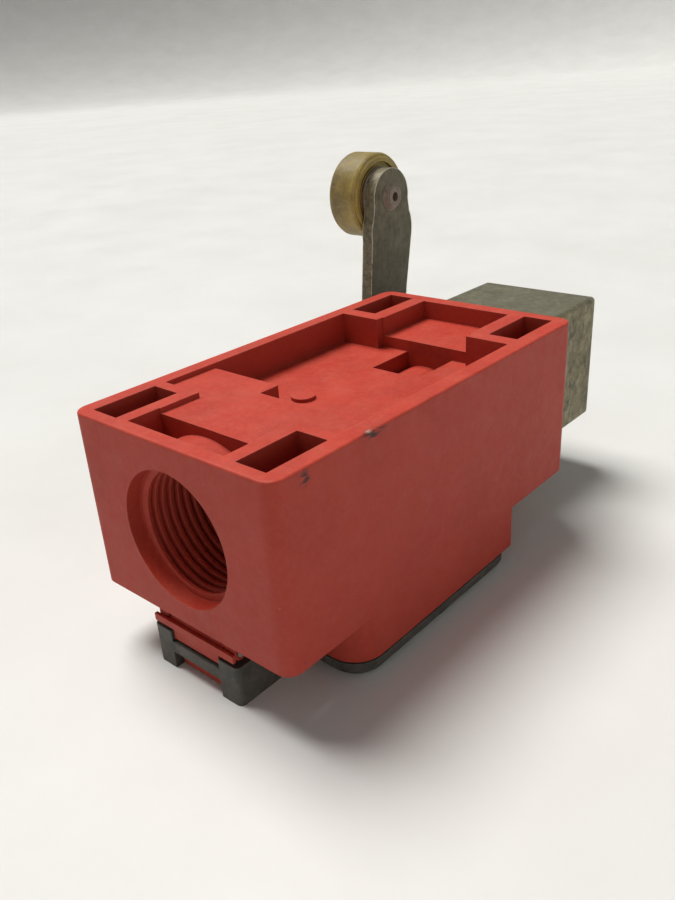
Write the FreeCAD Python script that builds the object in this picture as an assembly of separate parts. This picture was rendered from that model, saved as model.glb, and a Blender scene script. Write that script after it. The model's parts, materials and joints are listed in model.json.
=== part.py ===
"""Limit switch with a turning roller lever, built as an assembly of separate pieces.

Millimetres. +Z is up and is the outward normal of the mounting face, +X runs from the
conduit entry to the operating head, and the origin is the centre of the 60 x 30 fixing
pattern on the mounting face. The switch lies on its cover, with the lever standing up.
"""
import FreeCAD, Part
import math
import os
from FreeCAD import Vector

# ---- driving dimensions -------------------------------------------------------------
BODY_LENGTH = 75.2
BODY_WIDTH = 41.0
SHOULDER_Z = -28.8            # front of the two mounting shoulders
RIM_Z = -36.5                 # front rim of the bulge, where the cover closes
COVER_TOP_Z = -36.8
FLOOR_Z = -39.6               # outside of the cover
BULGE_X = (-23.8, 18.8)
BULGE_CORNER_R = 5.1
BODY_CORNER_R = 2.4
END_X = BODY_LENGTH / 2.0
HALF_W = BODY_WIDTH / 2.0

FIXING_X = 30.0               # half of the 60 mm spacing
FIXING_Y = 15.0               # half of the 30 mm spacing
SLOT_WIDTH = 5.3
SLOT_LENGTH = 7.3

BORE_Z = -14.8                # axis of the conduit entry
MOUTH_R = 10.6
MOUTH_DEPTH = 2.5
THREAD_MINOR_R = 9.5
THREAD_MAJOR_R = 10.2         # nominal Pg 13.5, assumed
THREAD_PITCH = 1.41
THREAD_END_X = -22.6           # the thread runs out into a relief here
RELIEF_R = THREAD_MAJOR_R + 0.2

AXIS_Z = -15.85               # axis of the plunger and the lever shaft
PIVOT_X = 49.35
CAVITY_X = (-21.0, 9.4)
CAVITY_HALF_Y = 17.5
CAVITY_TOP_Z = -8.2
GUIDE_R = 3.6                 # small passage for the contact stem
SPRING_BORE_R = 6.45
SPRING_BORE_X = 19.0

HEAD_LENGTH = 25.4
HEAD_HALF_Y = 12.85
HEAD_TOP_Z = -3.1
HEAD_BOTTOM_Z = -28.6
HEAD_POCKET_HALF_Y = 5.8
HEAD_POCKET_HALF_Z = 10.4
HEAD_SCREW_OFFSET = 9.0

SHAFT_R = 4.0
BOSS_FACE_Y = 16.2
ARM_FACE_Y = 28.0             # inner face of the upper part of the arm
ARM_THICKNESS = 2.65
ARM_JOGGLE = 1.4              # the foot of the arm lies this much further out
ROLLER_Z = 16.4
ROLLER_R = 8.7
ROLLER_Y = (31.1, 38.3)

TRAVEL = 4.0                  # plunger travel at the end of the lever's stroke
STROKE_DEG = 70.0
CAM_R0 = 5.2
CAM_SLOPE = TRAVEL / STROKE_DEG
TAPPET_TIP_X = PIVOT_X - CAM_R0 - 0.45
TAPPET_END_X = 27.6
STEM_END_X = 27.3

HINGE_X = 20.3                # cover hinge pin
HINGE_Z = -36.2
LATCH_X = -35.4               # latch pivot pin
LATCH_Z = -31.4


# ---- small helpers ------------------------------------------------------------------
def box(x_range, y_range, z_range):
    """Box between two limits on each axis."""
    low = Vector(min(x_range), min(y_range), min(z_range))
    size = [abs(r[1] - r[0]) for r in (x_range, y_range, z_range)]
    return Part.makeBox(size[0], size[1], size[2], low)


def sym(half):
    """Limits placed evenly about zero."""
    return (-half, half)


def rod_x(radius, x_range, y=0.0, z=AXIS_Z):
    """Cylinder along X."""
    length = x_range[1] - x_range[0]
    return Part.makeCylinder(radius, length, Vector(x_range[0], y, z), Vector(1, 0, 0))


def rod_y(radius, y_range, x=PIVOT_X, z=AXIS_Z):
    """Cylinder along Y."""
    length = y_range[1] - y_range[0]
    return Part.makeCylinder(radius, length, Vector(x, y_range[0], z), Vector(0, 1, 0))


def rod_z(radius, z_range, x, y):
    """Cylinder along Z."""
    length = z_range[1] - z_range[0]
    return Part.makeCylinder(radius, length, Vector(x, y, z_range[0]), Vector(0, 0, 1))


def cone_x(r1, r2, x_range, y=0.0, z=AXIS_Z):
    """Cone along X, from radius r1 to radius r2."""
    length = x_range[1] - x_range[0]
    return Part.makeCone(r1, r2, length, Vector(x_range[0], y, z), Vector(1, 0, 0))


def cone_y(r1, r2, y_range, x=PIVOT_X, z=AXIS_Z):
    """Cone along Y, from radius r1 to radius r2."""
    length = y_range[1] - y_range[0]
    return Part.makeCone(r1, r2, length, Vector(x, y_range[0], z), Vector(0, 1, 0))


def union(shapes):
    """One solid from several that touch."""
    return shapes[0].multiFuse(shapes[1:]).removeSplitter()


def cut(shape, tools):
    """Take several tools away from a solid."""
    return shape.cut(Part.makeCompound(tools))


def group(shapes):
    """Separate solids that share one node."""
    return Part.makeCompound(shapes)


def hex_rod_y(across_flats, y_range, x, z):
    """Hexagonal bar along Y."""
    radius = across_flats / math.sqrt(3.0)
    corners = []
    for i in range(7):
        angle = math.radians(60.0 * i)
        corners.append(Vector(x + radius * math.cos(angle), y_range[0], z + radius * math.sin(angle)))
    face = Part.Face(Part.makePolygon(corners))
    return face.extrude(Vector(0, y_range[1] - y_range[0], 0))


def rounded_plate(x_range, y_half, z_range, near_r, far_r):
    """Plate whose two corners at low X have radius near_r and the other two far_r."""
    plate = box(x_range, sym(y_half), z_range)
    near, far = [], []
    for edge in plate.Edges:
        a, b = edge.Vertexes[0].Point, edge.Vertexes[-1].Point
        if abs(a.z - b.z) < 0.001:
            continue
        (near if abs(a.x - min(x_range)) < 0.001 else far).append(edge)
    if near_r > 0:
        plate = plate.makeFillet(near_r, near)
    if far_r > 0:
        far = [e for e in plate.Edges if is_vertical_at(e, max(x_range))]
        plate = plate.makeFillet(far_r, far)
    return plate


def is_vertical_at(edge, x):
    """True for a straight upright edge in the plane of one x value."""
    a, b = edge.Vertexes[0].Point, edge.Vertexes[-1].Point
    return abs(a.z - b.z) > 0.001 and abs(a.x - x) < 0.001 and abs(b.x - x) < 0.001


def fillet_rim(shape, z, radius):
    """Round every edge that lies in the plane of one z value."""
    rim = []
    for edge in shape.Edges:
        bb = edge.BoundBox
        if abs(bb.ZMin - z) < 0.001 and abs(bb.ZMax - z) < 0.001:
            rim.append(edge)
    return shape.makeFillet(radius, rim)


def obround_z(width, length, x, y, z_range):
    """Slot-shaped bar along Z, long way along X."""
    r = width / 2.0
    reach = length / 2.0 - r
    middle = box((x - reach, x + reach), (y - r, y + r), z_range)
    return union([middle, rod_z(r, z_range, x - reach, y), rod_z(r, z_range, x + reach, y)])


def spring_x(radius, wire, x_range, turns, y=0.0, z=AXIS_Z):
    """Coil spring along X; radius is to the middle of the wire."""
    height = x_range[1] - x_range[0] - wire
    helix = Part.makeHelix(height / turns, height, radius)
    section = Part.Wire(Part.makeCircle(wire / 2.0, Vector(radius, 0, 0), Vector(0, 1, 0)))
    coil = Part.Wire(helix).makePipeShell([section], True, True)
    coil.rotate(Vector(0, 0, 0), Vector(0, 1, 0), 90)
    coil.translate(Vector(x_range[0] + wire / 2.0, y, z))
    return coil


def thread_cutter(x_range):
    """Helical V groove of the conduit thread."""
    length = x_range[1] - x_range[0]
    depth = THREAD_MAJOR_R - THREAD_MINOR_R
    half = THREAD_PITCH * 0.36
    root = THREAD_MINOR_R - 0.15
    helix = Part.makeHelix(THREAD_PITCH, length, root)
    corners = [
        Vector(root, 0, -half),
        Vector(root + depth + 0.15, 0, -0.08),
        Vector(root + depth + 0.15, 0, 0.08),
        Vector(root, 0, half),
        Vector(root, 0, -half),
    ]
    groove = Part.Wire(helix).makePipeShell([Part.makePolygon(corners)], True, True)
    groove.rotate(Vector(0, 0, 0), Vector(0, 1, 0), 90)
    groove.translate(Vector(x_range[0], 0, BORE_Z))
    return groove


def pan_screw_z(x, y, tip_z, seat_z, head_z, shank_r, head_r):
    """Slotted pan-head screw driven upwards, its head below the seat."""
    shank = rod_z(shank_r, (seat_z, tip_z), x, y)
    head = rod_z(head_r, (head_z, seat_z), x, y)
    slot = box((x - head_r, x + head_r), (y - 0.4, y + 0.4), (head_z, head_z + 0.8))
    return union([shank, head]).cut(slot)


# ---- housing ------------------------------------------------------------------------
def housing_outside():
    """Long block with the deeper bulge in front that carries the cover."""
    block = rounded_plate(sym(END_X), HALF_W, (SHOULDER_Z, 0), BODY_CORNER_R, BODY_CORNER_R)
    block = fillet_rim(block, 0, 0.4)
    bulge = rounded_plate(BULGE_X, HALF_W, (RIM_Z, SHOULDER_Z + 4), BULGE_CORNER_R, 0.6)
    return union([block, bulge])


def back_recesses():
    """Everything that is sunk into the mounting face."""
    inner_y = 17.65
    block_y = 9.7
    plateau_z = -0.8
    floor_z = -5.55
    trough = box((-35.2, -29.7), sym(9.9), (-9.5, 1))
    trough = trough.cut(rod_x(12.65, (-36, -29), z=BORE_Z))
    recesses = [
        trough,
        box((-29.8, -22.3), sym(block_y), (plateau_z, 1)),
        box((-22.4, -12.3), (3.0, inner_y), (plateau_z, 1)),
        box((-22.4, -16.2), (-inner_y, 3.1), (plateau_z, 1)),
        box((-12.4, 20.1), (3.0, inner_y), (floor_z, 1)),
        box((-16.2, 20.1), (-inner_y, 3.1), (floor_z, 1)),
        box((20.0, 21.7), sym(9.6), (floor_z, 1)),
        box((21.4, 34.5), sym(9.3), (-3.45, 1)),
    ]
    return recesses


def head_side_pocket():
    """Pocket in the sunk floor that shows the tube around the plunger."""
    pocket = box((11.5, 21.7), (-5.8, 3.95), (-11.3, -5))
    return pocket.cut(rod_x(8.05, (10, 23)))


def screw_passages():
    """Four cored passages, each closed in front by a wall with a slotted hole."""
    tools = []
    for x_range, x_side in (((-35.5, -24.4), -1), ((23.0, 35.0), 1)):
        for y_side in (-1, 1):
            y = y_side * FIXING_Y
            tools.append(box(x_range, (y - 2.7, y + 2.7), (-26.3, 1)))
            hole = obround_z(SLOT_WIDTH, SLOT_LENGTH, x_side * FIXING_X, y, (-30, -26))
            tools.append(hole)
    return tools


def contact_cavity():
    """Room for the contact block and the wires, open towards the cover."""
    deep = rounded_plate(CAVITY_X, CAVITY_HALF_Y, (RIM_Z - 1, CAVITY_TOP_Z), 2.3, 0.5)
    front = rounded_plate((8.0, 16.0), CAVITY_HALF_Y, (RIM_Z - 1, -13.4), 0.5, 0.5)
    front = front.cut(rod_x(8.05, (CAVITY_X[1], 17)))
    return [deep, front]


def housing():
    """Red moulded housing with the threaded conduit entry."""
    body = housing_outside()
    disc = rod_z(2.0, (-5.6, -4.95), -5.7, 4.55)
    body = cut(body, back_recesses() + [head_side_pocket()] + screw_passages())
    body = union([body, disc])
    body = cut(body, contact_cavity())
    lugs = []
    for side in (-1, 1):
        y_hinge = (side * 8.0 - 1.2, side * 8.0 + 1.2)
        lugs.append(rod_y(1.3, y_hinge, HINGE_X, HINGE_Z))
        lugs.append(box((BULGE_X[1] - 0.5, HINGE_X), y_hinge, (HINGE_Z, -33.6)))
        y_latch = (side * 7.3 - 1.0, side * 7.3 + 1.0)
        lugs.append(rod_y(1.15, y_latch, LATCH_X, LATCH_Z))
        lugs.append(box((LATCH_X - 1.15, LATCH_X + 1.15), y_latch, (LATCH_Z, SHOULDER_Z + 0.5)))
    body = union([body] + lugs)
    holes = [
        rod_x(MOUTH_R, (-END_X - 1, -END_X + MOUTH_DEPTH), z=BORE_Z),
        rod_x(THREAD_MINOR_R, (-END_X, THREAD_END_X), z=BORE_Z),
        rod_x(RELIEF_R, (THREAD_END_X, CAVITY_X[0] + 1), z=BORE_Z),
        rod_x(GUIDE_R, (CAVITY_X[1] - 1, SPRING_BORE_X + 1)),
        rod_x(SPRING_BORE_R, (SPRING_BORE_X, END_X + 1)),
        rod_y(0.85, sym(10.0), HINGE_X, HINGE_Z),
        rod_y(0.65, sym(8.6), LATCH_X, LATCH_Z),
    ]
    for y_side in (-1, 1):
        for z_side in (-1, 1):
            y = y_side * HEAD_SCREW_OFFSET
            z = AXIS_Z + z_side * HEAD_SCREW_OFFSET
            holes.append(rod_x(1.55, (28.5, END_X + 1), y, z))
        holes.append(rod_z(1.3, (CAVITY_TOP_Z - 1, -3.4), -18.0, y_side * 10.0))
    body = cut(body, holes)
    return body.cut(thread_cutter((-END_X + MOUTH_DEPTH - 0.4, -24.0)))


# ---- cover and latch ----------------------------------------------------------------
def cover():
    """Dark snap cover with a forked tongue under the conduit end and two hinge knuckles."""
    plate = rounded_plate((BULGE_X[0], 18.2), HALF_W, (FLOOR_Z, COVER_TOP_Z), BULGE_CORNER_R, 4.0)
    plate = fillet_rim(plate, FLOOR_Z, 2.0)
    tongue = box((-37.3, -22.5), sym(9.3), (FLOOR_Z, -32.8))
    tongue = tongue.cut(box((-22.5, -24.15), sym(10), (COVER_TOP_Z, -32)))
    upright = [e for e in tongue.Edges if is_vertical_at(e, -37.3)]
    tongue = tongue.makeFillet(1.0, upright)
    opening = box((-38, -31.6), sym(5.3), (FLOOR_Z - 1, -32))
    bar = box((-37.3, -36.2), sym(5.6), (-36.5, -34.6))
    knuckles = []
    for side in (-1, 1):
        y_range = (side * 5.0 - 1.5, side * 5.0 + 1.5)
        knuckles.append(rod_y(1.3, y_range, HINGE_X, HINGE_Z))
        knuckles.append(box((17.0, HINGE_X), y_range, (HINGE_Z - 1.3 - 1.0, COVER_TOP_Z)))
    body = union([plate, tongue.cut(opening), bar] + knuckles)
    groove = gasket_ring(0.15, (-38.0, -36))
    return cut(body, [groove, rod_y(0.85, sym(10), HINGE_X, HINGE_Z)])


def gasket_ring(extra, z_range):
    """Frame that follows the bulge; extra widens it to make its groove."""
    outer = rounded_plate((-22.0 - extra, 16.7 + extra), 18.7 + extra, z_range, 3.6, 2.6)
    inner = rounded_plate((-20.4 + extra, 15.1 - extra), 17.1 - extra, z_range, 2.2, 1.2)
    return outer.cut(inner)


def cover_gasket():
    """Soft seal that sits in the cover's groove and stands a little proud of it."""
    return gasket_ring(0.0, (-37.95, COVER_TOP_Z + 0.12))


def cover_hinge_pins():
    """Two short steel pins, one through each pair of knuckles."""
    return group([rod_y(0.8, (-9.1, -3.6), HINGE_X, HINGE_Z), rod_y(0.8, (3.6, 9.1), HINGE_X, HINGE_Z)])


def cover_latch():
    """Red latch plate that hangs from its pin and passes behind the cover's cross bar."""
    barrel = rod_y(1.15, sym(6.0), LATCH_X, LATCH_Z)
    flange = box((-37.3, -36.75), sym(8.7), (-32.0, -30.8))
    neck = box((-36.9, -35.3), sym(6.0), (-31.95, -30.85))
    plate = box((-35.9, -34.4), sym(5.0), (-39.4, LATCH_Z))
    step = box((-36.9, -35.3), sym(5.0), (-34.1, -31.0))
    body = union([barrel, flange, neck, plate, step])
    return body.cut(rod_y(0.66, sym(9), LATCH_X, LATCH_Z))


def latch_pin():
    """Steel pin through the housing's lugs and the latch."""
    return rod_y(0.6, sym(8.5), LATCH_X, LATCH_Z)


def latch_spring():
    """Bent leaf spring behind the latch."""
    foot = box((-34.1, -30.5), sym(3.0), (SHOULDER_Z - 0.4, SHOULDER_Z - 0.02))
    leaf = box((-33.95, -33.6), sym(3.0), (-36.0, SHOULDER_Z - 0.1))
    return union([foot, leaf])


# ---- operating head -----------------------------------------------------------------
def head_body():
    """Die-cast head with a pocket for the cam and a boss for the lever shaft."""
    end_x = END_X + HEAD_LENGTH + 0.3
    block = box((END_X + 0.5, end_x), sym(HEAD_HALF_Y), (HEAD_BOTTOM_Z, HEAD_TOP_Z))
    block = block.makeFillet(0.9, [e for e in block.Edges if e.BoundBox.XMax > end_x - 0.001])
    boss = cone_y(9.6, 9.2, (HEAD_HALF_Y - 0.5, BOSS_FACE_Y))
    pocket = box((END_X, 60.0), sym(HEAD_POCKET_HALF_Y),
                 (AXIS_Z - HEAD_POCKET_HALF_Z, AXIS_Z + HEAD_POCKET_HALF_Z))
    tools = [
        pocket,
        rod_y(6.05, (HEAD_POCKET_HALF_Y - 1, BOSS_FACE_Y + 1)),
        rod_y(3.05, (-10.8, -HEAD_POCKET_HALF_Y + 1)),
        box((end_x - 0.25, end_x + 1), sym(14), (-21.5, -12.5)),
        box((end_x - 0.6, end_x + 1), sym(14), (-30, -21.5)),
    ]
    for y_side in (-1, 1):
        for z_side in (-1, 1):
            y = y_side * HEAD_SCREW_OFFSET
            z = AXIS_Z + z_side * HEAD_SCREW_OFFSET
            tools.append(rod_x(1.65, (END_X, end_x + 1), y, z))
            tools.append(rod_x(2.95, (end_x - 4.0, end_x + 1), y, z))
    return cut(union([block, boss]), tools)


def head_seal():
    """Flat seal between the head and the housing."""
    plate = box((END_X + 0.05, END_X + 0.45), sym(12.2), (HEAD_BOTTOM_Z + 0.7, HEAD_TOP_Z - 0.7))
    tools = [rod_x(7.0, (END_X - 1, END_X + 1))]
    for y_side in (-1, 1):
        for z_side in (-1, 1):
            y = y_side * HEAD_SCREW_OFFSET
            tools.append(rod_x(1.8, (END_X - 1, END_X + 1), y, AXIS_Z + z_side * HEAD_SCREW_OFFSET))
    return cut(plate, tools)


def head_base():
    """Steel plate in the mouth of the head that guides the tappet."""
    half_z = HEAD_POCKET_HALF_Z - 0.1
    plate = box((END_X + 0.6, 40.6), sym(HEAD_POCKET_HALF_Y - 0.1), (AXIS_Z - half_z, AXIS_Z + half_z))
    cam_well = box((PIVOT_X - CAM_R0 - TRAVEL - 1.0, 42), (-3.2, 3.0), (AXIS_Z - 9.0, AXIS_Z + 9.0))
    return cut(plate, [rod_x(3.06, (END_X - 1, 42)), cam_well])


def head_screws():
    """Four long socket screws that hold the head to the housing."""
    screws = []
    for y_side in (-1, 1):
        for z_side in (-1, 1):
            y = y_side * HEAD_SCREW_OFFSET
            z = AXIS_Z + z_side * HEAD_SCREW_OFFSET
            head = rod_x(2.75, (59.4, 62.3), y, z)
            screw = union([rod_x(1.45, (29.0, 59.5), y, z), head])
            screws.append(screw.cut(rod_x(1.3, (60.6, 63), y, z)))
    return group(screws)


def shaft_bush():
    """Sintered bush in the wall of the head."""
    return rod_y(6.0, (6.1, 13.2)).cut(rod_y(SHAFT_R + 0.05, (5, 14)))


def shaft_seal():
    """Lip seal in the mouth of the boss."""
    return rod_y(6.0, (13.4, 15.7)).cut(rod_y(SHAFT_R + 0.06, (13, 17)))


def lever_shaft():
    """Stepped steel shaft with a threaded outer end."""
    shaft = union([
        rod_y(SHAFT_R, (-5.6, 32.2)),
        rod_y(3.0, (-10.5, -5.5)),
        rod_y(2.95, (32.0, 38.4)),
    ])
    groove = rod_y(5.0, (-4.6, -3.7)).cut(rod_y(3.4, (-5, -3)))
    pin_hole = rod_z(0.92, (AXIS_Z, AXIS_Z + 5), PIVOT_X, 4.0)
    return cut(shaft, [groove, pin_hole])


def retaining_ring():
    """Spring clip in the groove of the shaft."""
    ring = rod_y(5.7, (-4.55, -3.75)).cut(rod_y(3.45, (-5, -3)))
    mouth = box((PIVOT_X, PIVOT_X + 7), (-5, -3), (AXIS_Z - 1.6, AXIS_Z + 1.6))
    return ring.cut(mouth)


def drive_pin():
    """Dog pin in the shaft that pushes the cam one way only."""
    return rod_z(0.9, (AXIS_Z + 0.2, AXIS_Z + 6.6), PIVOT_X, 4.0)


def cam():
    """Cam with an even spiral flank and a side ring that the dog pin drives."""
    points = []
    for i in range(19):
        psi = -10.0 + 5.0 * i
        radius = CAM_R0 + CAM_SLOPE * max(psi, 0.0)
        angle = math.radians(180.0 + psi)
        points.append(Vector(PIVOT_X + radius * math.cos(angle), -2.6, AXIS_Z + radius * math.sin(angle)))
    flank = Part.BSplineCurve()
    flank.interpolate(points)
    closing = Part.Arc(points[-1], Vector(PIVOT_X + 6.3, -2.6, AXIS_Z + 0.5), points[0])
    outline = Part.Wire([flank.toShape(), closing.toShape()])
    disc = Part.Face(outline).extrude(Vector(0, 5.0, 0))
    ring = rod_y(6.7, (2.3, 5.4))
    slot = sector_y(75.0, 173.0, 8.0, (2.45, 6))
    return cut(union([disc, ring]), [rod_y(SHAFT_R + 0.08, (-4, 7)), slot])


def sector_y(start_deg, end_deg, radius, y_range):
    """Wedge about the shaft; angles run from +X towards +Z."""
    centre = Vector(PIVOT_X, y_range[0], AXIS_Z)
    corners = [centre]
    steps = 8
    for i in range(steps + 1):
        angle = math.radians(start_deg + (end_deg - start_deg) * i / steps)
        corners.append(centre + Vector(radius * math.cos(angle), 0, radius * math.sin(angle)))
    corners.append(centre)
    return Part.Face(Part.makePolygon(corners)).extrude(Vector(0, y_range[1] - y_range[0], 0))


# ---- lever and roller ---------------------------------------------------------------
def arm_outline():
    """Front view of the arm: a narrow round top, a wide middle and a round foot."""
    rounds = [(ROLLER_Z, 5.8), (9.4, 6.95), (-5.0, 6.45), (AXIS_Z, 8.2)]
    pieces = []
    for z, radius in rounds:
        pieces.append(rod_y(radius, (20, 40), PIVOT_X, z))
    for (z1, r1), (z2, r2) in zip(rounds, rounds[1:]):
        lean = math.asin((r1 - r2) / (z1 - z2))
        side, rise = math.cos(lean), math.sin(lean)
        corners = []
        for sign, z, radius in ((1, z1, r1), (1, z2, r2), (-1, z2, r2), (-1, z1, r1), (1, z1, r1)):
            corners.append(Vector(PIVOT_X + sign * radius * side, 20, z + radius * rise))
        pieces.append(Part.Face(Part.makePolygon(corners)).extrude(Vector(0, 20, 0)))
    return union(pieces)


def lever_arm():
    """Pressed steel arm with a shallow joggle below the roller."""
    bend_top, bend_foot = 8.0, -5.0
    inner = [(ARM_FACE_Y, 30), (ARM_FACE_Y, bend_top), (ARM_FACE_Y + ARM_JOGGLE, bend_foot),
             (ARM_FACE_Y + ARM_JOGGLE, -30)]
    outer = [(y + ARM_THICKNESS, z) for y, z in reversed(inner)]
    corners = [Vector(30, y, z) for y, z in inner + outer + inner[:1]]
    strip = Part.Face(Part.makePolygon(corners)).extrude(Vector(40, 0, 0))
    arm = strip.common(arm_outline())
    return cut(arm, [rod_y(SHAFT_R + 0.03, (20, 40)), rod_y(2.05, (20, 40), PIVOT_X, ROLLER_Z)])


def lever_hub():
    """Turned hub between the arm and the boss of the head."""
    foot_y = ARM_FACE_Y + ARM_JOGGLE
    hub = union([rod_y(7.2, (17.4, foot_y - 0.05)), rod_y(8.6, (BOSS_FACE_Y + 0.35, 18.5))])
    return hub.cut(rod_y(SHAFT_R + 0.03, (10, 40)))


def lever_washer():
    """Spring washer under the nut."""
    foot_y = ARM_FACE_Y + ARM_JOGGLE + ARM_THICKNESS
    return rod_y(5.6, (foot_y + 0.2, foot_y + 1.2)).cut(rod_y(3.1, (20, 40)))


def lever_nut():
    """Hexagon nut on the end of the shaft."""
    start = ARM_FACE_Y + ARM_JOGGLE + ARM_THICKNESS + 1.25
    nut = hex_rod_y(10.0, (start, start + 4.4), PIVOT_X, AXIS_Z)
    nut = nut.common(cone_y(9.2, 4.8, (start, start + 4.4 + 0.6)))
    return nut.cut(rod_y(3.0, (20, 50)))


def roller():
    """Moulded roller: broad tread, a thin raised lip on each face and a sunk hub disc."""
    y1, y2 = ROLLER_Y
    middle = (y1 + y2) / 2.0
    profile = [(2.08, y1 + 0.25), (6.1, y1 + 0.25), (6.1, y1 + 0.9), (6.95, y1 + 0.9), (6.95, y1 - 0.1),
               (7.8, y1 - 0.1), (8.0, y1 + 0.25), (8.45, y1 + 0.35), (ROLLER_R, y1 + 0.8)]
    mirrored = [(r, 2 * middle - y) for r, y in reversed(profile)]
    corners = [Vector(r, y, 0) for r, y in profile + mirrored + profile[:1]]
    body = Part.Face(Part.makePolygon(corners)).revolve(Vector(0, 0, 0), Vector(0, 1, 0), 360)
    body.translate(Vector(PIVOT_X, 0, ROLLER_Z))
    return body


def roller_rivet():
    """Tubular rivet that carries the roller, spread over on the inner side of the arm."""
    x, z = PIVOT_X, ROLLER_Z
    shank = rod_y(2.0, (ARM_FACE_Y - 1.05, 39.0), x, z)
    collar = cone_y(2.15, 2.9, (ARM_FACE_Y - 0.75, ARM_FACE_Y - 0.03), x, z)
    head = cone_y(3.7, 3.0, (ROLLER_Y[1] + 0.3, ROLLER_Y[1] + 1.3), x, z)
    return union([shank, collar, head]).cut(rod_y(0.95, (20, 50), x, z))


def roller_washer():
    """Thin steel washer between the arm and the roller."""
    back = ARM_FACE_Y + ARM_THICKNESS
    disc = rod_y(6.0, (back + 0.03, back + 0.4), PIVOT_X, ROLLER_Z)
    return disc.cut(rod_y(2.05, (20, 50), PIVOT_X, ROLLER_Z))


# ---- plunger train ------------------------------------------------------------------
def tappet():
    """Steel tappet between the cam and the contact stem."""
    tip = Part.makeSphere(1.2, Vector(TAPPET_TIP_X - 1.2, 0, AXIS_Z))
    return union([
        rod_x(3.0, (TAPPET_END_X, 41.5)),
        cone_x(3.0, 1.1, (41.4, TAPPET_TIP_X - 1.0)),
        tip,
        rod_x(5.8, (35.6, 37.1)),
    ])


def tappet_spring():
    """Return spring that pushes the tappet against the cam."""
    return spring_x(5.2, 0.7, (SPRING_BORE_X + 0.3, 35.3), 7)


def carrier_spring():
    """Return spring of the contact carrier."""
    return spring_x(3.4, 0.5, (SPRING_BORE_X + 0.3, 25.6), 5)


# ---- contact block ------------------------------------------------------------------
BLOCK_X = (-15.0, 8.7)
BLOCK_HALF_Y = 13.5
BLOCK_FRONT_Z = -26.0
LID_Z = (-12.4, -11.2)
CHAMBER_X = (-13.8, 7.2)
CHAMBER_HALF_Y = 9.6
CHAMBER_Z = -19.4
NC_PLATE_X = -3.4             # fixed plate of the opening contact
NO_PLATE_X = -1.6             # fixed plate of the closing contact
PLATE_THICKNESS = 0.6
NC_SCREW_X = -10.0
NO_SCREW_X = 4.0
TERMINAL_Y = 10.9


def contact_base():
    """Black moulded base with a chamber for the carrier and four terminal seats."""
    base = box(BLOCK_X, sym(BLOCK_HALF_Y), (BLOCK_FRONT_Z, LID_Z[0] - 0.05))
    ears = []
    for side in (-1, 1):
        y_range = (side * 10.0 - 3.3, side * 10.0 + 3.3)
        ears.append(box((-20.6, -14.0), y_range, (-16.0, -12.6)))
    chamber = box(CHAMBER_X, sym(CHAMBER_HALF_Y), (CHAMBER_Z, 0))
    tools = [chamber, rod_x(2.6, (6, 10))]
    for side in (-1, 1):
        for x_range in ((NC_PLATE_X - 0.3, NC_PLATE_X + 0.9), (NO_PLATE_X - 0.3, NO_PLATE_X + 0.9)):
            y_range = (side * (CHAMBER_HALF_Y - 0.5), side * (TERMINAL_Y + 1.8))
            tools.append(box(x_range, y_range, (BLOCK_FRONT_Z - 1, 0)))
        for x in (NC_SCREW_X, NO_SCREW_X):
            tools.append(rod_z(1.3, (BLOCK_FRONT_Z - 1, -20.4), x, side * TERMINAL_Y))
        tools.append(rod_z(1.5, (-17, -12), -18.0, side * 10.0))
    body = cut(union([base] + ears), tools)
    divider = box((-4.5, 0.2), sym(1.0), (BLOCK_FRONT_Z - 2.4, BLOCK_FRONT_Z + 0.2))
    walls = [divider]
    for side in (-1, 1):
        walls.append(box((-3.9, -1.1), (side * 6.5, side * 1.0), (BLOCK_FRONT_Z - 2.4, BLOCK_FRONT_Z + 0.2)))
    return union([body] + walls)


def contact_lid():
    """Flat lid that closes the chamber."""
    return box((BLOCK_X[0] + 0.2, BLOCK_X[1] - 0.2), sym(BLOCK_HALF_Y - 0.2), LID_Z)


def contact_screws():
    """Two screws that hold the contact block in the housing."""
    screws = []
    for side in (-1, 1):
        screws.append(pan_screw_z(-18.0, side * 10.0, -4.5, -16.05, -17.8, 1.2, 2.5))
    return group(screws)


def contact_carrier():
    """Sliding carrier with two windows for the bridges and a stem to the tappet."""
    block = box((-9.5, 6.8), sym(4.0), (AXIS_Z - 3.0, AXIS_Z + 3.0))
    stem = rod_x(2.5, (6.0, STEM_END_X))
    collar = rod_x(4.0, (STEM_END_X - 1.5, STEM_END_X))
    windows = [
        box((-8.3, -4.5), sym(5), (AXIS_Z - 1.8, AXIS_Z + 1.8)),
        box((2.6, 5.9), sym(5), (AXIS_Z - 1.8, AXIS_Z + 1.8)),
    ]
    return cut(union([block, stem, collar]), windows)


def fixed_contacts(plate_x, button_side, foot_x):
    """Pair of fixed contacts: an upright plate with a button, and a foot for the terminal."""
    pieces = []
    x_plate = (plate_x, plate_x + PLATE_THICKNESS)
    foot_z = (BLOCK_FRONT_Z - 0.85, BLOCK_FRONT_Z - 0.05)
    button_x = (plate_x - 0.6, plate_x + 0.1)
    if button_side > 0:
        button_x = (x_plate[1] - 0.1, x_plate[1] + 0.6)
    foot_range = (min(foot_x - 3.0, plate_x), max(foot_x + 3.0, x_plate[1]))
    for side in (-1, 1):
        upright = box(x_plate, (side * 5.6, side * 12.3), (AXIS_Z - 1.6, AXIS_Z + 1.6))
        tail = box(x_plate, (side * 9.8, side * 12.3), (foot_z[0], AXIS_Z))
        foot = box(foot_range, (side * 8.3, side * 13.3), foot_z)
        button = rod_x(1.4, button_x, side * 7.2, AXIS_Z)
        contact = union([upright, tail, foot, button])
        pieces.append(contact.cut(rod_z(1.45, (-30, -20), foot_x, side * TERMINAL_Y)))
    return group(pieces)


def nc_fixed_contacts():
    """Fixed contacts of the opening pair."""
    return fixed_contacts(NC_PLATE_X, -1, NC_SCREW_X)


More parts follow.
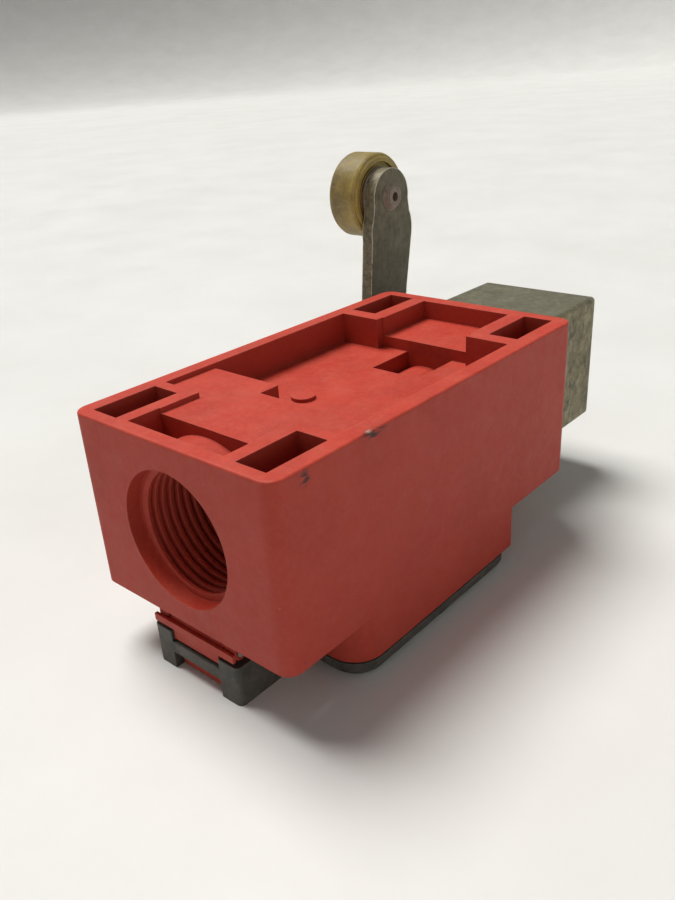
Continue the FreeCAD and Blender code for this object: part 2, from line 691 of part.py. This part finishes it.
def no_fixed_contacts():
    """Fixed contacts of the closing pair."""
    return fixed_contacts(NO_PLATE_X, 1, NO_SCREW_X)


def bridge(plate_x, button_side):
    """Moving bridge with a button at each end."""
    x_plate = (plate_x, plate_x + PLATE_THICKNESS)
    button_x = (plate_x - 0.5, plate_x + 0.1)
    if button_side > 0:
        button_x = (x_plate[1] - 0.1, x_plate[1] + 0.5)
    pieces = [box(x_plate, sym(9.0), (AXIS_Z - 1.5, AXIS_Z + 1.5))]
    for side in (-1, 1):
        pieces.append(rod_x(1.4, button_x, side * 7.2, AXIS_Z))
    return union(pieces)


def nc_bridge():
    """Bridge of the opening pair, closed at rest."""
    return bridge(NC_PLATE_X - 0.6 - 0.3 - 0.5 - PLATE_THICKNESS, 1)


def no_bridge():
    """Bridge of the closing pair, one travel away from its fixed contacts at rest."""
    return bridge(NO_PLATE_X + PLATE_THICKNESS + 0.6 + 0.3 + TRAVEL + 0.5, -1)


def bridge_springs():
    """Two small folded leaf springs, one behind each bridge."""
    return group([folded_leaf(-8.15, -5.5), folded_leaf(5.1, 5.8)])


def folded_leaf(x1, x2):
    """Leaf folded once, filling the space between two x values."""
    thickness = 0.2
    y_range, z = sym(1.5), AXIS_Z
    near = box((x1, x1 + thickness), y_range, (z - 1.3, z + 1.3))
    far = box((x2 - thickness, x2), y_range, (z - 1.3, z + 1.3))
    fold = box((x1, x2), y_range, (z + 1.3 - thickness, z + 1.3))
    return union([near, far, fold])


def terminal_screws():
    """Four slotted terminal screws."""
    screws = []
    for x in (NC_SCREW_X, NO_SCREW_X):
        for side in (-1, 1):
            seat = BLOCK_FRONT_Z - 1.75
            screws.append(pan_screw_z(x, side * TERMINAL_Y, -21.0, seat, seat - 1.9, 1.2, 2.5))
    return group(screws)


def terminal_clamps():
    """Four saddle washers that hold the wires down."""
    clamps = []
    z_range = (BLOCK_FRONT_Z - 1.7, BLOCK_FRONT_Z - 0.9)
    for x in (NC_SCREW_X, NO_SCREW_X):
        for side in (-1, 1):
            y = side * TERMINAL_Y
            plate = box((x - 2.7, x + 2.7), (y - 2.4, y + 2.4), z_range)
            clamps.append(plate.cut(rod_z(1.45, (-30, -20), x, y)))
    return group(clamps)


NODES = {
    "housing": housing,
    "cover": cover,
    "cover_gasket": cover_gasket,
    "cover_hinge_pins": cover_hinge_pins,
    "cover_latch": cover_latch,
    "latch_pin": latch_pin,
    "latch_spring": latch_spring,
    "head_body": head_body,
    "head_seal": head_seal,
    "head_base": head_base,
    "head_screws": head_screws,
    "shaft_bush": shaft_bush,
    "shaft_seal": shaft_seal,
    "lever_shaft": lever_shaft,
    "retaining_ring": retaining_ring,
    "drive_pin": drive_pin,
    "cam": cam,
    "lever_arm": lever_arm,
    "lever_hub": lever_hub,
    "lever_washer": lever_washer,
    "lever_nut": lever_nut,
    "roller": roller,
    "roller_rivet": roller_rivet,
    "roller_washer": roller_washer,
    "tappet": tappet,
    "tappet_spring": tappet_spring,
    "carrier_spring": carrier_spring,
    "contact_base": contact_base,
    "contact_lid": contact_lid,
    "contact_screws": contact_screws,
    "contact_carrier": contact_carrier,
    "nc_fixed_contacts": nc_fixed_contacts,
    "no_fixed_contacts": no_fixed_contacts,
    "nc_bridge": nc_bridge,
    "no_bridge": no_bridge,
    "bridge_springs": bridge_springs,
    "terminal_screws": terminal_screws,
    "terminal_clamps": terminal_clamps,
}


def main():
    """Build every node and write its STEP file."""
    os.makedirs("parts", exist_ok=True)
    for name, build in NODES.items():
        shape = build()
        solids = len(shape.Solids)
        bb = shape.BoundBox
        print(name, "solids", solids, "valid", shape.isValid(), "volume", round(shape.Volume, 1),
              "x", round(bb.XMin, 2), round(bb.XMax, 2), "y", round(bb.YMin, 2), round(bb.YMax, 2),
              "z", round(bb.ZMin, 2), round(bb.ZMax, 2))
        shape.exportStep("parts/" + name + ".step")


main()
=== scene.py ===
import json
import math
import bpy
from mathutils import Matrix, Vector


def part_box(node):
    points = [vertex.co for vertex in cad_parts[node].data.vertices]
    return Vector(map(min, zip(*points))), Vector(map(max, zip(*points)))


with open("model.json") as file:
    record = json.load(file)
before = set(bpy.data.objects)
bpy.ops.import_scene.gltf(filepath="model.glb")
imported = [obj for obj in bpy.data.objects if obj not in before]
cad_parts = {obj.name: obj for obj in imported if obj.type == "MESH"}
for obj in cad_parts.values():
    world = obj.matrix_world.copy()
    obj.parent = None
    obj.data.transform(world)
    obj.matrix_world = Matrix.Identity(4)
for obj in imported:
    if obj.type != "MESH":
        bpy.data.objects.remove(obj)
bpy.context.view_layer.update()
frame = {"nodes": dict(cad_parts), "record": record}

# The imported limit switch, dressed to match the photo. Metres, same frame as the CAD:
# +Z is the mounting face's outward normal, +X runs from the conduit entry to the head.

NODES = frame["nodes"]
FLOOR_Z = -0.0396    # the outside of the cover, which the switch lies on
MM = 0.001

# Camera solved from the straight edges of the housing.
CAMERA_PLACE = Vector((-0.0950, -0.0836, 0.0444))
CAMERA_RIGHT = Vector((0.6522, -0.7559, -0.0574))
CAMERA_UP = Vector((0.3593, 0.2415, 0.9014))
CAMERA_LENS_MM = 33.38
CAMERA_SENSOR_MM = 36.0
CAMERA_NEAR_CLIP = 0.005

# The roller's face beside the lever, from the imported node.
ROLLER_NEAR_FACE_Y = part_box("roller")[0][1]

# Marks on the red housing: middle and reach in millimetres, strength, colour.
RED_MARKS = (
    ((-18.5, -20.5, -0.5), (3.2, 1.0, 1.1), 1.0, (0.016, 0.010, 0.009)),
    ((-19.2, -20.2, -0.1), (0.9, 0.4, 0.4), 0.8, (0.62, 0.40, 0.34)),
    ((-31.9, -20.5, -1.6), (1.2, 0.8, 1.6), 1.0, (0.030, 0.012, 0.010)),
)

# Light: mostly from above, and from behind the switch as the camera sees it.
KEY_FROM = Vector((0.02, 0.42, 1.0))
KEY_STRENGTH = 3.25
KEY_SOFTNESS_DEG = 30
KEY_COLOUR = (1.0, 0.985, 0.955)
SKY_STRENGTH = 0.13
SKY_COLOUR = (0.97, 0.98, 1.0, 1.0)

# Floor: a flat disc whose rim curves up into a wall.
FLOOR_RADIUS = 3.0
FLOOR_CURVE = 0.9
FLOOR_CURVE_STEPS = 10
FLOOR_WALL_TOP = 1.6
FLOOR_SIDES = 96

# Faces that meet at less than this angle are shaded as one curved face.
SMOOTH_BELOW_DEG = 28

# Samples for rounded edges and for painted shade in corners.
BEVEL_SAMPLES = 6
CREVICE_SAMPLES = 8

# Where each mask starts, and where it is full.
EDGE_LEAN = (0.99, 0.80)       # cosine between a face's normal and its bevelled normal
CREVICE_OPEN = (0.85, 0.25)    # share of its surroundings that a point can see
UPWARD_SLOPE = (0.3, 0.9)      # Z of the normal
FACING_SLOPE = (0.5, 0.9)      # size of the normal's part along the axis
SPOT_FADE = (1.0, 0.35)        # distance from the spot's middle, in reaches


# ---- node graph helpers ---------------------------------------------------------------
class Graph:
    """A material's node graph, with short calls for the few nodes used here."""

    def __init__(self, name):
        self.material = bpy.data.materials.new(name)
        self.material.use_nodes = True
        self.tree = self.material.node_tree
        self.shader = self.tree.nodes["Principled BSDF"]
        coords = self.tree.nodes.new("ShaderNodeTexCoord")
        self.place = coords.outputs["Object"]

    def node(self, kind, **settings):
        made = self.tree.nodes.new("ShaderNode" + kind)
        for key, value in settings.items():
            setattr(made, key, value)
        return made

    def link(self, source, target):
        """Join two sockets, or write a plain number on the target."""
        if isinstance(source, bpy.types.NodeSocket):
            self.tree.links.new(source, target)
        else:
            target.default_value = source

    def noise(self, size_mm, detail=6.0, roughness=0.6, stretch=(1, 1, 1), seed=0.0):
        """Soft noise whose features are about size_mm across."""
        mapping = self.node("Mapping")
        mapping.inputs["Scale"].default_value = stretch
        mapping.inputs["Location"].default_value = (seed, seed * 0.7, -seed)
        self.link(self.place, mapping.inputs["Vector"])
        tex = self.node("TexNoise")
        tex.inputs["Scale"].default_value = 1.0 / (size_mm * MM)
        tex.inputs["Detail"].default_value = detail
        tex.inputs["Roughness"].default_value = roughness
        self.link(mapping.outputs["Vector"], tex.inputs["Vector"])
        return tex.outputs["Fac"]

    def patches(self, low, high, size_mm, *detail_and_roughness, **more):
        """Noise stretched into a mask: 0 up to low, 1 from high on."""
        return self.ramp(self.noise(size_mm, *detail_and_roughness, **more), low, high)

    def specks(self, size_mm, spread, seed=0.0):
        """Scattered dots, size_mm apart and spread of that in radius: 1 inside, 0 outside."""
        mapping = self.node("Mapping")
        mapping.inputs["Location"].default_value = (seed, -seed, seed * 0.4)
        self.link(self.place, mapping.inputs["Vector"])
        tex = self.node("TexVoronoi")
        tex.inputs["Scale"].default_value = 1.0 / (size_mm * MM)
        self.link(mapping.outputs["Vector"], tex.inputs["Vector"])
        return self.ramp(tex.outputs["Distance"], spread, spread * 0.5)

    def ramp(self, value, low, high):
        """Value stretched so that low gives 0 and high gives 1, clamped."""
        made = self.node("MapRange")
        made.inputs["From Min"].default_value = low
        made.inputs["From Max"].default_value = high
        self.link(value, made.inputs["Value"])
        return made.outputs["Result"]

    def math(self, operation, a, b):
        """The sum, product or difference of a and b, clamped to 0..1."""
        made = self.node("Math", operation=operation, use_clamp=True)
        self.link(a, made.inputs[0])
        self.link(b, made.inputs[1])
        return made.outputs[0]

    def overlap(self, a, b):
        """Mask of where both masks hold."""
        return self.math("MULTIPLY", a, b)

    def blend(self, factor, a, b):
        """Colour a where factor is 0 and b where it is 1."""
        made = self.node("Mix", data_type="RGBA", blend_type="MIX")
        self.link(factor, made.inputs["Factor"])
        for value, key in ((a, "A"), (b, "B")):
            socket = [s for s in made.inputs if s.identifier == key + "_Color"][0]
            if isinstance(value, bpy.types.NodeSocket):
                self.tree.links.new(value, socket)
            else:
                socket.default_value = (*value, 1.0)
        return [s for s in made.outputs if s.identifier == "Result_Color"][0]

    def coat(self, base, mask, strength, colour):
        """Base with a colour laid over it where the mask holds."""
        return self.blend(self.math("MULTIPLY", mask, strength), base, colour)

    def edges(self, width_mm):
        """Mask of sharp outer and inner edges, from how far a bevelled normal leans."""
        bevel = self.node("Bevel", samples=BEVEL_SAMPLES)
        bevel.inputs["Radius"].default_value = width_mm * MM
        geometry = self.node("NewGeometry")
        dot = self.node("VectorMath", operation="DOT_PRODUCT")
        self.link(bevel.outputs["Normal"], dot.inputs[0])
        self.link(geometry.outputs["Normal"], dot.inputs[1])
        return self.ramp(dot.outputs["Value"], *EDGE_LEAN)

    def painted_corner_shade(self, reach_mm):
        """Mask of corners and recesses, for painting in the shade that falls there."""
        hidden = self.node("AmbientOcclusion", samples=CREVICE_SAMPLES)
        hidden.inputs["Distance"].default_value = reach_mm * MM
        return self.ramp(hidden.outputs["AO"], *CREVICE_OPEN)

    def axis_of(self, vector, axis):
        """The part of a vector along one axis, "X", "Y" or "Z"."""
        split = self.node("SeparateXYZ")
        self.link(vector, split.inputs[0])
        return split.outputs[axis]

    def upward(self):
        """1 on faces that look up, 0 on the rest."""
        geometry = self.node("NewGeometry")
        return self.ramp(self.axis_of(geometry.outputs["Normal"], "Z"), *UPWARD_SLOPE)

    def facing(self, axis):
        """1 on faces square to that axis, either way round, 0 on the rest."""
        geometry = self.node("NewGeometry")
        lean = self.node("Math", operation="ABSOLUTE")
        self.link(self.axis_of(geometry.outputs["Normal"], axis), lean.inputs[0])
        return self.ramp(lean.outputs[0], *FACING_SLOPE)

    def coordinate(self, axis):
        """How far along that axis a point lies, in metres."""
        return self.axis_of(self.place, axis)

    def near(self, place, reach):
        """Soft spot round a point: place and reach are (x, y, z) in millimetres."""
        mapping = self.node("Mapping", vector_type="TEXTURE")
        mapping.inputs["Location"].default_value = [value * MM for value in place]
        mapping.inputs["Scale"].default_value = [value * MM for value in reach]
        self.link(self.place, mapping.inputs["Vector"])
        length = self.node("VectorMath", operation="LENGTH")
        self.link(mapping.outputs["Vector"], length.inputs[0])
        return self.ramp(length.outputs["Value"], *SPOT_FADE)

    def finish(self, colour, roughness, height=None, depth_mm=0.05, metallic=0.0, round_mm=0.2):
        """Wire colour, roughness and bump to the shader; edges are rounded by round_mm."""
        self.link(colour, self.shader.inputs["Base Color"])
        self.link(roughness, self.shader.inputs["Roughness"])
        self.link(metallic, self.shader.inputs["Metallic"])
        bevel = self.node("Bevel", samples=BEVEL_SAMPLES)
        bevel.inputs["Radius"].default_value = round_mm * MM
        normal = bevel.outputs["Normal"]
        if height is not None:
            bump = self.node("Bump")
            bump.inputs["Distance"].default_value = depth_mm * MM
            bump.inputs["Strength"].default_value = 1.0
            self.link(height, bump.inputs["Height"])
            self.link(normal, bump.inputs["Normal"])
            normal = bump.outputs["Normal"]
        self.link(normal, self.shader.inputs["Normal"])
        return self.material


# ---- materials ------------------------------------------------------------------------
# Each material is a base colour with coats laid over it, and colours are linear RGB.
# patches takes low, high, size in mm, detail and roughness. Roughness maps have a low under 0
# and a high over 1, so that they wander only a little.
def red_plastic():
    """Sun-faded red moulding: mottled, faintly dusty on top, scuffed in a few places, with painted
    shade on its sides and in its corners.
    """
    g = Graph("red_plastic")
    mottle = g.patches(0.35, 0.68, 9, 8, 0.62)
    base = g.blend(mottle, (0.475, 0.034, 0.016), (0.560, 0.048, 0.024))
    fine = g.patches(0.45, 0.80, 0.9, 5, 0.7, seed=0.3)
    base = g.blend(fine, base, (0.600, 0.070, 0.040))
    shade = g.patches(0.52, 0.74, 14, 6, 0.7, seed=1.1)
    base = g.coat(base, shade, 0.35, (0.300, 0.024, 0.014))
    dust = g.overlap(g.upward(), g.patches(0.42, 0.74, 5, 8, 0.7, seed=2.3))
    base = g.coat(base, dust, 0.16, (0.60, 0.22, 0.15))
    rubbed = g.overlap(g.edges(0.35), g.patches(0.30, 0.62, 2.0, 6, 0.7, seed=4.0))
    base = g.coat(base, rubbed, 0.45, (0.66, 0.15, 0.10))
    # Painted shade: corners and recesses darkened where shade falls.
    base = g.coat(base, g.painted_corner_shade(1.2), 0.10, (0.22, 0.012, 0.010))
    dark_dots = g.overlap(g.specks(4.6, 0.055, 3.1), g.patches(0.50, 0.56, 17, 3, 0.5, seed=6.0))
    base = g.coat(base, dark_dots, 0.75, (0.10, 0.025, 0.020))
    pale_dots = g.overlap(g.specks(3.4, 0.050, 7.7), g.patches(0.52, 0.57, 15, 3, 0.5, seed=9.0))
    base = g.coat(base, pale_dots, 0.6, (0.72, 0.30, 0.24))
    # Painted shade: faces that do not look up are darkened, as if lit less than the tops.
    painted_side_shade = g.math("SUBTRACT", 1.0, g.upward())
    base = g.coat(base, painted_side_shade, 0.60, (0.250, 0.028, 0.015))
    streaks = g.patches(0.44, 0.56, 0.8, 6, 0.75, stretch=(0.35, 1, 1), seed=2.2)
    for place, reach, strength, colour in RED_MARKS:
        mark = g.overlap(g.near(place, reach), streaks)
        base = g.coat(base, mark, strength, colour)
    rough = g.math("ADD", g.patches(-0.8, 1.5, 3.0, 6, 0.7, seed=5.0), 0.02)
    height = g.math("ADD", g.noise(0.35, 4, 0.6), g.noise(6.0, 3, 0.5, seed=8.0))
    g.shader.inputs["Specular IOR Level"].default_value = 0.35
    return g.finish(base, rough, height, 0.030, round_mm=0.12)


def black_plastic():
    """Dusty black moulding with a brown-green cast."""
    g = Graph("black_plastic")
    cloud = g.patches(0.35, 0.70, 4.0, 8, 0.68)
    base = g.blend(cloud, (0.030, 0.028, 0.024), (0.075, 0.068, 0.055))
    grime = g.patches(0.52, 0.75, 1.2, 6, 0.75, seed=2.0)
    base = g.coat(base, grime, 0.6, (0.140, 0.120, 0.090))
    wear = g.overlap(g.edges(0.3), g.patches(0.35, 0.7, 1.5, 5, 0.6, seed=3.0))
    base = g.coat(base, wear, 0.6, (0.18, 0.16, 0.13))
    rough = g.math("ADD", g.patches(-0.6, 1.4, 2.0, 5, 0.6, seed=1.0), 0.05)
    return g.finish(base, rough, g.noise(0.4, 5, 0.65), 0.04, round_mm=0.25)


def zinc():
    """Die-cast zinc, olive under oily grime, with dark blotches, pale scuffs and painted shade on
    its top faces.
    """
    g = Graph("zinc")
    cloud = g.patches(0.36, 0.66, 3.6, 9, 0.74)
    base = g.blend(cloud, (0.095, 0.080, 0.034), (0.270, 0.235, 0.125))
    streak = g.patches(0.50, 0.66, 1.5, 7, 0.78, stretch=(1, 1, 0.5), seed=1.7)
    base = g.coat(base, streak, 0.75, (0.36, 0.34, 0.245))
    stain = g.patches(0.53, 0.64, 2.6, 7, 0.78, seed=5.2)
    base = g.coat(base, stain, 0.8, (0.055, 0.047, 0.024))
    # Painted shade: faces that look up are darkened and greyed.
    base = g.coat(base, g.upward(), 0.60, (0.110, 0.110, 0.080))
    pits = g.specks(1.3, 0.16, 2.2)
    base = g.coat(base, pits, 0.6, (0.035, 0.032, 0.022))
    wear = g.overlap(g.edges(0.7), g.patches(0.46, 0.60, 1.3, 6, 0.7, seed=7.0))
    base = g.coat(base, wear, 0.75, (0.40, 0.38, 0.31))
    rough = g.math("ADD", g.patches(-0.5, 1.5, 1.5, 6, 0.7, seed=3.3), 0.10)
    height = g.math("SUBTRACT", g.noise(1.1, 7, 0.7), g.math("MULTIPLY", pits, 0.5))
    return g.finish(base, rough, height, 0.16, metallic=0.20, round_mm=0.45)


def dull_steel():
    """Pressed steel gone olive-brown: oily film, drawn grain, rust, a rubbed bright edge that is
    partly a painted highlight, and painted shade lower down.
    """
    g = Graph("dull_steel")
    cloud = g.patches(0.36, 0.66, 3.0, 8, 0.74)
    base = g.blend(cloud, (0.064, 0.056, 0.026), (0.150, 0.136, 0.078))
    grain = g.noise(0.5, 5, 0.6, stretch=(1.0, 1.0, 0.08), seed=1.0)
    base = g.coat(base, g.ramp(grain, 0.45, 0.75), 0.5, (0.190, 0.180, 0.130))
    # Painted shade: the lever darkens towards its bottom.
    painted_lower_shade = g.ramp(g.coordinate("Z"), 14.0 * MM, -6.0 * MM)
    base = g.coat(base, painted_lower_shade, 0.55, (0.046, 0.038, 0.018))
    rust = g.patches(0.54, 0.66, 2.0, 7, 0.78, seed=4.4)
    base = g.coat(base, rust, 0.65, (0.095, 0.055, 0.026))
    rim = g.math("SUBTRACT", 1.0, g.facing("Y"))
    flank = g.overlap(rim, g.patches(0.44, 0.60, 1.2, 7, 0.78, seed=8.1))
    base = g.coat(base, flank, 0.75, (0.250, 0.190, 0.110))
    # Rubbed edges made near-white: partly real wear, partly a painted highlight along the edge.
    wear = g.overlap(g.edges(0.45), g.patches(0.30, 0.50, 2.5, 5, 0.6, seed=6.0))
    base = g.coat(base, wear, 0.95, (0.80, 0.77, 0.64))
    rough = g.math("ADD", g.patches(-0.4, 1.6, 1.2, 6, 0.7, seed=2.0), 0.10)
    height = g.math("ADD", g.math("MULTIPLY", grain, 0.5), g.noise(0.8, 6, 0.7, seed=9.0))
    return g.finish(base, rough, height, 0.06, metallic=0.25, round_mm=0.3)


def nylon():
    """Moulded nylon, yellowed by the lip, with grey-brown dirt rolled into the tread and painted
    shade in its corners.
    """
    g = Graph("nylon")
    cloud = g.patches(0.34, 0.66, 4.0, 7, 0.70)
    base = g.blend(cloud, (0.185, 0.125, 0.018), (0.370, 0.275, 0.055))
    lip, tread = ROLLER_NEAR_FACE_Y + 1.0 * MM, ROLLER_NEAR_FACE_Y + 6.0 * MM
    away = g.ramp(g.coordinate("Y"), lip, tread)
    dirt = g.patches(0.36, 0.62, 2.4, 8, 0.78, seed=2.6)
    base = g.coat(base, g.overlap(dirt, away), 0.85, (0.110, 0.082, 0.050))
    smear = g.patches(0.50, 0.68, 1.4, 7, 0.8, stretch=(1, 0.35, 1), seed=5.0)
    base = g.coat(base, smear, 0.5, (0.30, 0.26, 0.17))
    # Painted shade: corners and recesses darkened where shade falls.
    base = g.coat(base, g.painted_corner_shade(0.8), 0.45, (0.090, 0.062, 0.026))
    base = g.coat(base, g.edges(0.35), 0.75, (0.58, 0.44, 0.14))
    rough = g.math("ADD", g.patches(-0.6, 1.8, 1.4, 6, 0.7, seed=1.0), 0.08)
    return g.finish(base, rough, g.noise(0.8, 6, 0.7, seed=3.0), 0.07, round_mm=0.15)


def rusty_steel():
    """The rivet and its disc: brown with rust and grease, rubbed pinkish grey on the rim."""
    g = Graph("rusty_steel")
    cloud = g.patches(0.36, 0.66, 1.2, 8, 0.74)
    base = g.blend(cloud, (0.150, 0.108, 0.080), (0.300, 0.245, 0.200))
    crust = g.patches(0.52, 0.68, 0.6, 6, 0.75, seed=3.0)
    base = g.coat(base, crust, 0.7, (0.075, 0.040, 0.024))
    base = g.coat(base, g.edges(0.25), 0.8, (0.44, 0.39, 0.34))
    rough = g.math("ADD", g.patches(-0.6, 1.5, 0.8, 6, 0.7, seed=1.0), 0.10)
    return g.finish(base, rough, g.noise(0.5, 6, 0.7, seed=2.0), 0.08, metallic=0.15, round_mm=0.12)


def bright_steel():
    """Turned or drawn steel with a light oily film."""
    g = Graph("bright_steel")
    cloud = g.patches(0.35, 0.70, 2.0, 7, 0.65)
    base = g.blend(cloud, (0.30, 0.29, 0.27), (0.47, 0.46, 0.43))
    stain = g.patches(0.56, 0.74, 1.3, 6, 0.7, seed=3.0)
    base = g.coat(base, stain, 0.5, (0.14, 0.11, 0.08))
    rough = g.math("ADD", g.patches(-0.3, 2.4, 0.8, 5, 0.6, seed=1.0), 0.12)
    height = g.noise(0.25, 4, 0.6, stretch=(1, 0.2, 1))
    return g.finish(base, rough, height, 0.02, metallic=0.9, round_mm=0.12)


def rubber():
    """Matt black rubber with a dusty bloom."""
    g = Graph("rubber")
    bloom = g.patches(0.45, 0.75, 1.5, 7, 0.7)
    base = g.blend(bloom, (0.012, 0.012, 0.012), (0.050, 0.048, 0.044))
    rough = g.math("ADD", g.patches(-1.0, 1.2, 1.0, 5, 0.6, seed=1.0), 0.20)
    return g.finish(base, rough, g.noise(0.3, 5, 0.6, seed=2.0), 0.03, round_mm=0.1)


def insulator():
    """Dark moulded contact block with a fine flow pattern."""
    g = Graph("insulator")
    flow = g.patches(0.35, 0.70, 2.5, 6, 0.6, stretch=(0.4, 1, 1))
    base = g.blend(flow, (0.014, 0.014, 0.016), (0.034, 0.034, 0.036))
    dust = g.patches(0.5, 0.75, 1.0, 7, 0.75, seed=2.0)
    base = g.coat(base, dust, 0.5, (0.085, 0.080, 0.072))
    rough = g.math("ADD", g.patches(-0.6, 1.6, 1.2, 5, 0.6, seed=1.0), 0.08)
    return g.finish(base, rough, g.noise(0.3, 4, 0.6), 0.03, round_mm=0.15)


def copper_alloy(name, dark, light, film):
    """Stamped or sintered copper alloy with a tarnish film."""
    g = Graph(name)
    cloud = g.patches(0.35, 0.70, 1.8, 7, 0.65)
    base = g.blend(cloud, dark, light)
    tarnish = g.patches(0.54, 0.74, 1.1, 6, 0.7, seed=3.0)
    base = g.coat(base, tarnish, 0.6, film)
    rough = g.math("ADD", g.patches(-0.4, 2.2, 0.7, 5, 0.6, seed=1.0), 0.10)
    return g.finish(base, rough, g.noise(0.3, 4, 0.6), 0.02, metallic=0.9, round_mm=0.1)


def brass():
    return copper_alloy("brass", (0.42, 0.30, 0.11), (0.58, 0.44, 0.19), (0.19, 0.12, 0.05))


def bronze():
    return copper_alloy("bronze", (0.26, 0.16, 0.08), (0.38, 0.25, 0.13), (0.12, 0.07, 0.04))


def floor_paint():
    """Plain pale floor with the faintest clouding."""
    g = Graph("floor_paint")
    cloud = g.patches(0.3, 0.7, 60, 6, 0.6)
    base = g.blend(cloud, (0.74, 0.735, 0.71), (0.80, 0.795, 0.775))
    rough = g.patches(-0.6, 1.2, 30, 5, 0.6, seed=1.0)
    return g.finish(base, rough, g.noise(2.0, 5, 0.6), 0.02, round_mm=0.1)


MATERIALS = {
    "red_plastic": red_plastic,
    "black_plastic": black_plastic,
    "insulator": insulator,
    "rubber": rubber,
    "zinc": zinc,
    "dull_steel": dull_steel,
    "bright_steel": bright_steel,
    "nylon": nylon,
    "bronze": bronze,
    "brass": brass,
    "rusty_steel": rusty_steel,
}

# Nodes whose finish differs from the rest of their slot.
OWN_FINISH = {"roller_rivet": "rusty_steel", "roller_washer": "rusty_steel"}


def dress_nodes():
    """Give every CAD node its material and smooth its curved faces."""
    made = {name: build() for name, build in MATERIALS.items()}
    for part in frame["record"]["subparts"]:
        obj = NODES[part["node"]]
        obj.data.materials.clear()
        obj.data.materials.append(made[OWN_FINISH.get(part["node"], part["material_slot"])])
        obj.data.polygons.foreach_set("use_smooth", [True] * len(obj.data.polygons))
        split = obj.modifiers.new("sharp_edges", "EDGE_SPLIT")
        split.split_angle = math.radians(SMOOTH_BELOW_DEG)


# ---- floor, light and camera ----------------------------------------------------------
def add_floor():
    """A round pale floor that curves up into a low wall, so no horizon shows."""
    flat = FLOOR_RADIUS - FLOOR_CURVE
    rings = [(flat, 0.0)]
    for i in range(1, FLOOR_CURVE_STEPS + 1):
        turn = math.pi / 2 * i / FLOOR_CURVE_STEPS
        rings.append((flat + FLOOR_CURVE * math.sin(turn), FLOOR_CURVE * (1 - math.cos(turn))))
    rings.append((FLOOR_RADIUS, FLOOR_WALL_TOP))
    points = [(0.0, 0.0, FLOOR_Z)]
    for radius, height in rings:
        for k in range(FLOOR_SIDES):
            angle = math.tau * k / FLOOR_SIDES
            points.append((radius * math.cos(angle), radius * math.sin(angle), FLOOR_Z + height))
    faces = [(0, 1 + k, 1 + (k + 1) % FLOOR_SIDES) for k in range(FLOOR_SIDES)]
    for i in range(len(rings) - 1):
        for k in range(FLOOR_SIDES):
            a = 1 + i * FLOOR_SIDES + k
            b = 1 + i * FLOOR_SIDES + (k + 1) % FLOOR_SIDES
            faces.append((a, a + FLOOR_SIDES, b + FLOOR_SIDES, b))
    mesh = bpy.data.meshes.new("floor")
    mesh.from_pydata(points, [], faces)
    mesh.polygons.foreach_set("use_smooth", [True] * len(mesh.polygons))
    mesh.materials.append(floor_paint())
    floor = bpy.data.objects.new("floor", mesh)
    bpy.context.scene.collection.objects.link(floor)


def add_lights():
    """A broad soft light from above and behind, and a dim even sky."""
    data = bpy.data.lights.new("key", "SUN")
    data.energy = KEY_STRENGTH
    data.angle = math.radians(KEY_SOFTNESS_DEG)
    data.color = KEY_COLOUR
    lamp = bpy.data.objects.new("key", data)
    bpy.context.scene.collection.objects.link(lamp)
    lamp.rotation_euler = KEY_FROM.to_track_quat("Z", "Y").to_euler()
    world = bpy.data.worlds.new("sky")
    bpy.context.scene.world = world
    world.use_nodes = True
    background = world.node_tree.nodes["Background"]
    background.inputs["Color"].default_value = SKY_COLOUR
    background.inputs["Strength"].default_value = SKY_STRENGTH


def add_camera():
    """The photo's view, with the three axes squared up before use."""
    data = bpy.data.cameras.new("camera")
    data.lens = CAMERA_LENS_MM
    data.sensor_width = CAMERA_SENSOR_MM
    data.clip_start = CAMERA_NEAR_CLIP
    camera = bpy.data.objects.new("camera", data)
    bpy.context.scene.collection.objects.link(camera)
    back = CAMERA_RIGHT.cross(CAMERA_UP).normalized()
    up = back.cross(CAMERA_RIGHT).normalized()
    axes = Matrix((CAMERA_RIGHT.normalized(), up, back)).transposed()
    camera.matrix_world = Matrix.Translation(CAMERA_PLACE) @ axes.to_4x4()
    bpy.context.scene.camera = camera


def set_view():
    """Plain sRGB view, with no film curve that would wash out the red."""
    bpy.context.scene.view_settings.view_transform = "Standard"


dress_nodes()
add_floor()
add_lights()
add_camera()
set_view()
